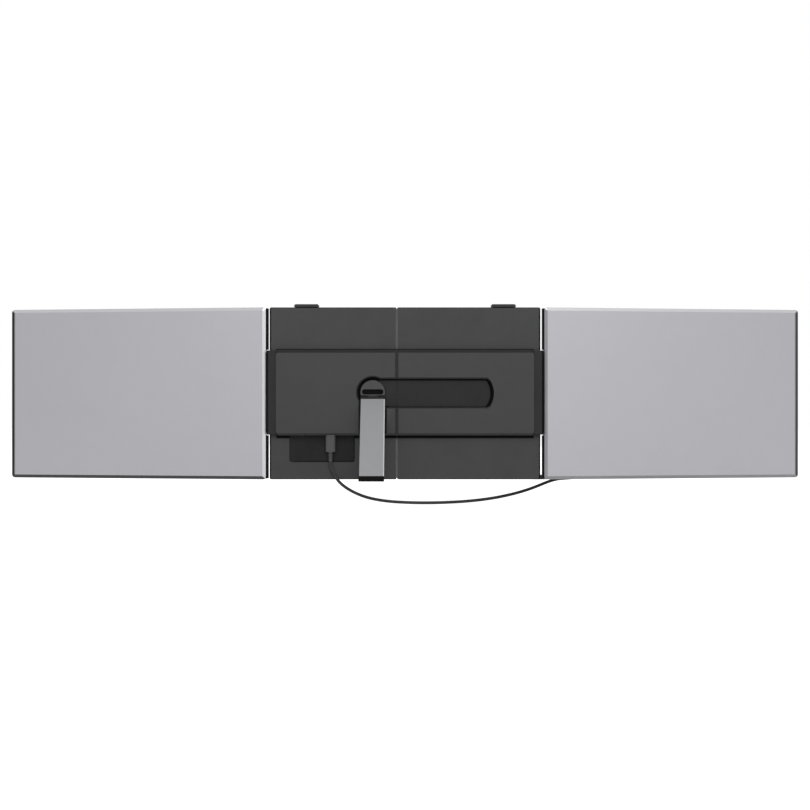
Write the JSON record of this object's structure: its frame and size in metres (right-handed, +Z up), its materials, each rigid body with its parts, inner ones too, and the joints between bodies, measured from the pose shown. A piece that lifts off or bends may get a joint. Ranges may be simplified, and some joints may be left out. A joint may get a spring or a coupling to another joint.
{
  "type": "laptop screen extender",
  "caption": "Two display wings hinged to a centre plate that clips on a laptop lid, with a raised bar, a swivelling kickstand and a USB-C lead.",
  "frame": {"origin": "middle of the face of the lid pads that lies against the back of the laptop's lid, halfway up the centre plates", "axes": "+X to the right seen from behind, along the row of screens; +Y towards the user, out of the lid pads; +Z up"},
  "size_m": [0.9992, 0.2678, 0.2494],
  "materials": {
    "wing_shell": "anodised silver, fine satin",
    "black_plastic": "black, finely grained",
    "arm_plastic": "black, satin",
    "screw_steel": "turned",
    "bracket_steel": "pressed sheet",
    "rubber": "matt",
    "screen_glass": "anti-glare film over black",
    "light_guide": "milky",
    "circuit_board": "green solder mask",
    "hook_plastic": "black, satin",
    "port_steel": "nickel plated",
    "head_grey": "dark grey, satin",
    "retainer_steel": "turned",
    "leg_aluminium": "anodised silver",
    "plug_moulding": "dark grey, soft",
    "cord_jacket": "dark grey, satin"
  },
  "bodies": {
    "left_half": {"left_plate_shell": "black_plastic", "left_front_liner": "black_plastic", "left_liner_screws": "screw_steel", "left_lid_pads": "rubber", "left_bar_cover": "black_plastic", "left_arm_bracket": "bracket_steel", "left_hinge_shaft": "screw_steel", "left_friction_washers": "screw_steel", "left_arm_cover": "arm_plastic", "plate_sleeve": "bracket_steel", "seam_sleeves": "hook_plastic", "slide_rails": "bracket_steel", "return_springs": "bracket_steel", "main_board": "circuit_board", "usb_c_sockets": "port_steel", "mini_hdmi_socket": "port_steel", "hub_plug": "plug_moulding", "laptop_plug": "plug_moulding", "plug_shells": "port_steel", "link_cord": "cord_jacket"},
    "right_half": {"right_plate_shell": "black_plastic", "right_front_liner": "black_plastic", "right_liner_screws": "screw_steel", "right_lid_pads": "rubber", "right_bar_cover": "black_plastic", "right_arm_bracket": "bracket_steel", "right_hinge_shaft": "screw_steel", "right_friction_washers": "screw_steel", "right_arm_cover": "arm_plastic", "rail_guides": "hook_plastic"},
    "left_hook": {"left_lid_hook": "hook_plastic", "left_hook_grip": "rubber"},
    "right_hook": {"right_lid_hook": "hook_plastic", "right_hook_grip": "rubber"},
    "left_wing": {"left_wing_shell": "wing_shell", "left_wing_bezel": "black_plastic", "left_wing_panel": "screen_glass", "left_wing_light_guide": "light_guide", "left_wing_driver_board": "circuit_board", "left_wing_hinge_leaf": "bracket_steel", "left_wing_bumpers": "rubber", "left_wing_screws": "screw_steel"},
    "right_wing": {"right_wing_shell": "wing_shell", "right_wing_bezel": "black_plastic", "right_wing_panel": "screen_glass", "right_wing_light_guide": "light_guide", "right_wing_driver_board": "circuit_board", "right_wing_hinge_leaf": "bracket_steel", "right_wing_bumpers": "rubber", "right_wing_screws": "screw_steel"},
    "stand_swivel": {"swivel_head": "head_grey", "swivel_retainer": "retainer_steel", "tilt_pin": "screw_steel"},
    "stand_leg": {"stand_leg": "leg_aluminium", "leg_hinge": "head_grey", "leg_foot": "rubber"},
    "power_button": {"power_button": "hook_plastic"},
    "plus_button": {"plus_button": "hook_plastic"},
    "minus_button": {"minus_button": "hook_plastic"}
  },
  "joints": [
    {"name": "plate_extension", "type": "slide", "parent": "left_half", "child": "right_half", "axis": [1, 0, 0], "range_m": [0, 0.04], "stiffness_N_per_m": 150, "springref_m": -0.01, "deforming": ["return_springs"]},
    {"name": "left_wing_hinge", "type": "hinge", "parent": "left_half", "child": "left_wing", "pos_m": [-0.1705, 0.00445, 0.001], "axis": [0, 0, -1], "range_deg": [-10, 170]},
    {"name": "right_wing_hinge", "type": "hinge", "parent": "right_half", "child": "right_wing", "pos_m": [0.1705, 0.0088, 0.001], "axis": [0, 0, 1], "range_deg": [-10, 170]},
    {"name": "left_hook_slide", "type": "slide", "parent": "left_half", "child": "left_hook", "axis": [0, 0, 1], "range_m": [0, 0.03], "stiffness_N_per_m": 60},
    {"name": "right_hook_slide", "type": "slide", "parent": "right_half", "child": "right_hook", "axis": [0, 0, 1], "range_m": [0, 0.03], "stiffness_N_per_m": 60},
    {"name": "stand_swivel_turn", "type": "hinge", "parent": "left_half", "child": "stand_swivel", "pos_m": [-0.0398, -0.01, 0.001], "axis": [0, -1, 0], "range_deg": [0, 90]},
    {"name": "stand_leg_tilt", "type": "hinge", "parent": "stand_swivel", "child": "stand_leg", "pos_m": [-0.0398, -0.0136, -0.005], "axis": [-1, 0, 0], "range_deg": [-43, 32]},
    {"name": "power_button_press", "type": "slide", "parent": "left_half", "child": "power_button", "axis": [0, 0, 1], "range_m": [0, 0.0005], "stiffness_N_per_m": 400},
    {"name": "plus_button_press", "type": "slide", "parent": "left_half", "child": "plus_button", "axis": [0, 0, 1], "range_m": [0, 0.0005], "stiffness_N_per_m": 400},
    {"name": "minus_button_press", "type": "slide", "parent": "left_half", "child": "minus_button", "axis": [0, 0, 1], "range_m": [0, 0.0005], "stiffness_N_per_m": 400}
  ]
}
